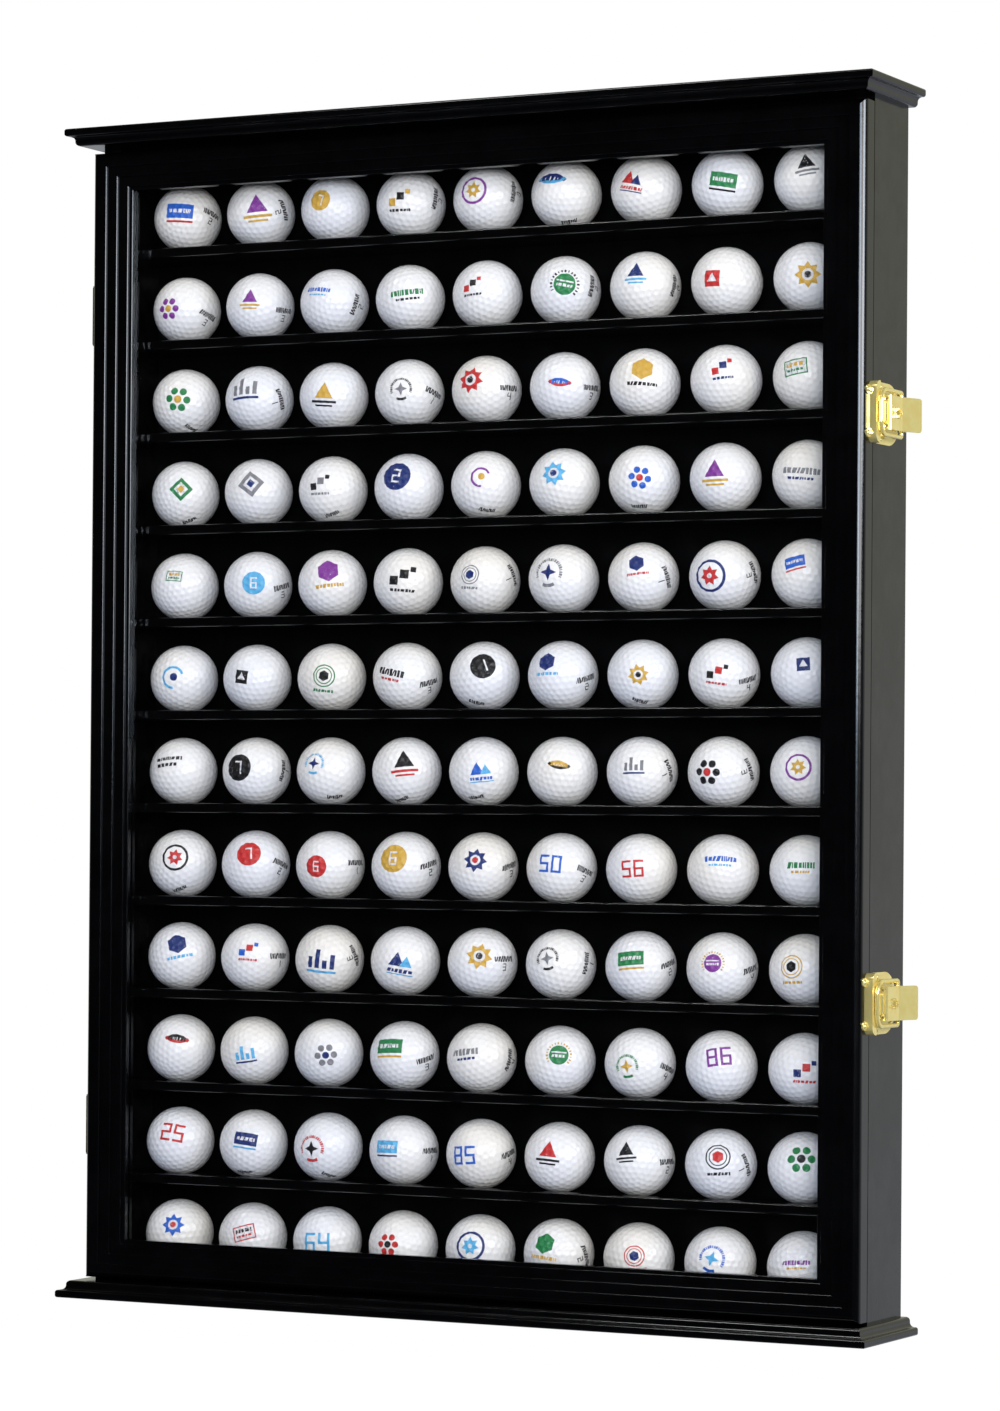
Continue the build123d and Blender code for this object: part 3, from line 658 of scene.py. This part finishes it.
def floor():
    """A pale studio floor, well below the hung case. The camera sees it pale and even, gloss sees
    it darken in front of the case, and the rest gets a faintly blue light back from it."""
    size, steps, z = 3.0, 12, -0.80
    places = [-size + 2 * size * i / steps for i in range(steps + 1)]
    quads = []
    for j in range(steps):
        for i in range(steps):
            corner = j * (steps + 1) + i
            quads.append((corner, corner + 1, corner + steps + 2, corner + steps + 1))
    mesh = bpy.data.meshes.new("studio_floor")
    mesh.from_pydata([(x, y, z) for y in places for x in places], [], quads)
    ob = bpy.data.objects.new("studio_floor", mesh)
    bpy.context.scene.collection.objects.link(ob)
    n = Nodes(bpy.data.materials.new("studio_floor"))
    pale = n.principled(Roughness=0.9)
    n.link(n.ramp(n.noise(n.coords, 3.0), (0.3, (0.80, 0.80, 0.80)), (0.7, (0.84, 0.84, 0.84))),
           pale.inputs["Base Color"])
    glow = n.add("ShaderNodeEmission", Color=(0.70, 0.70, 0.70, 1))
    bright = n.add("ShaderNodeAddShader")
    n.link(pale.outputs[0], bright.inputs[0])
    n.link(glow.outputs[0], bright.inputs[1])
    dull = n.add("ShaderNodeBsdfDiffuse")
    split = n.add("ShaderNodeSeparateXYZ")
    n.link(n.coords, split.inputs[0])
    depth = n.span(split.outputs["Y"], -0.2, 1.0)
    n.link(n.ramp(depth, (0.0, (0.05, 0.05, 0.055)), (1.0, (0.8, 0.8, 0.82))),
           dull.inputs["Color"])
    bounce = n.add("ShaderNodeBsdfDiffuse", Color=(0.42, 0.455, 0.57, 1))
    path = n.add("ShaderNodeLightPath")
    unseen = n.mix(path.outputs["Is Glossy Ray"], bounce.outputs[0], dull.outputs[0])
    seen = n.mix(path.outputs["Is Camera Ray"], unseen, bright.outputs[0])
    n.link(seen, n.out.inputs["Surface"])
    mesh.materials.append(n.owner)


def area(name, place, target, size, power, colour):
    """A rectangular lamp that looks at target, in metres and watts."""
    light = bpy.data.lights.new(name, "AREA")
    light.shape = "RECTANGLE"
    light.size, light.size_y = size
    light.energy = power
    light.color = colour
    ob = bpy.data.objects.new(name, light)
    ob.location = place
    ob.rotation_euler = (Vector(target) - Vector(place)).to_track_quat("-Z", "Y").to_euler()
    bpy.context.scene.collection.objects.link(ob)


floor()

# The main light comes from the right, as in the photo.
area("window", (1.95, -1.93, 0.44), (0, 0, 0.05), (2.3, 0.62), 33.0, (1.0, 0.955, 0.92))
area("window_top", (1.75, -1.75, 1.45), (0, 0, 0.05), (2.0, 0.9), 5.0, (1.0, 0.92, 0.80))
# Light on the right side panel.
area("side_window", (2.62, -0.75, 0.75), (0, 0, 0.1), (1.2, 0.8), 37.0, (0.93, 0.94, 1.0))
# Faint light from above, and the bright lines on the door's outer edge and on its steps.
area("ceiling", (-0.15, -1.30, 1.75), (0, 0, 0.05), (1.6, 0.35), 4.0, (1.0, 0.94, 0.84))
area("arris_light", (1.02, -2.56, 0.52), (0.26, -0.06, 0.15), (1.1, 0.95), 26.0, (0.74, 0.85, 1.0))
area("lip_light", (-0.65, -0.99, 1.50), (0.17, -0.05, 0.2), (0.13, 0.7), 5.5, (1.0, 0.97, 0.92))


def room():
    """The room as gloss and metal show it: a bright wall behind the case, a dark one in front of
    it. The rest gets an even soft light, and the camera sees plain white."""
    world = bpy.data.worlds.new("studio")
    bpy.context.scene.world = world
    n = Nodes(world, "ShaderNodeOutputWorld", "Generated")
    split = n.add("ShaderNodeSeparateXYZ")
    n.link(n.coords, split.inputs[0])
    depth = n.ramp(n.span(split.outputs["Y"], -1.0, 1.0),
                   (0.0, (0.012, 0.012, 0.014)), (0.45, (0.015, 0.015, 0.018)),
                   (0.62, (0.25, 0.25, 0.26)), (0.85, (1, 1, 1)))
    wall = n.ramp(n.span(split.outputs["Z"], -0.16, 0.16),
                  (0.0, (0.50, 0.53, 0.58)), (0.45, (0.55, 0.55, 0.52)), (1.0, (0.50, 0.50, 0.40)))
    tint = n.add("ShaderNodeMix", data_type="RGBA", blend_type="MULTIPLY", Factor=1.0)
    n.link(depth, tint.inputs[6])
    n.link(wall, tint.inputs[7])
    gloss = n.add("ShaderNodeBackground")
    n.link(tint.outputs[2], gloss.inputs["Color"])
    soft = n.add("ShaderNodeBackground", Color=(0.34, 0.34, 0.38, 1))
    white = n.add("ShaderNodeBackground", Color=(1, 1, 1, 1))
    path = n.add("ShaderNodeLightPath")
    unseen = n.mix(path.outputs["Is Glossy Ray"], soft.outputs[0], gloss.outputs[0])
    seen = n.mix(path.outputs["Is Camera Ray"], unseen, white.outputs[0])
    n.link(seen, n.out.inputs["Surface"])


room()

# The camera: the picture's size, and in its pixels the focal length and the lens's middle. Angles
# are in radians.
WIDTH, HEIGHT = 1000, 1411
FOCAL, MIDDLE = 4510.63, (508.94, 780.24)
SENSOR = 36.0
PLACE = Vector((1.26388, -2.47000, -0.06861))
YAW, PITCH, ROLL = 0.4725, 0.00994, -0.00731
forward = Vector((-math.sin(YAW) * math.cos(PITCH), math.cos(YAW) * math.cos(PITCH),
                  math.sin(PITCH)))
right = Vector((math.cos(YAW), math.sin(YAW), 0))
down = forward.cross(right)
turned_right = right * math.cos(ROLL) + down * math.sin(ROLL)
turned_down = down * math.cos(ROLL) - right * math.sin(ROLL)
camera = bpy.data.cameras.new("camera")
camera.sensor_width = SENSOR
camera.lens = FOCAL / HEIGHT * SENSOR
camera.shift_x = (WIDTH / 2 - MIDDLE[0]) / HEIGHT
camera.shift_y = (MIDDLE[1] - HEIGHT / 2) / HEIGHT
camera.clip_start, camera.clip_end = 0.1, 50.0
eye = bpy.data.objects.new("camera", camera)
basis = Matrix((turned_right, -turned_down, -forward)).transposed()
eye.matrix_world = Matrix.Translation(PLACE) @ basis.to_4x4()
bpy.context.scene.collection.objects.link(eye)
bpy.context.scene.camera = eye
bpy.context.scene.view_settings.view_transform = "Standard"
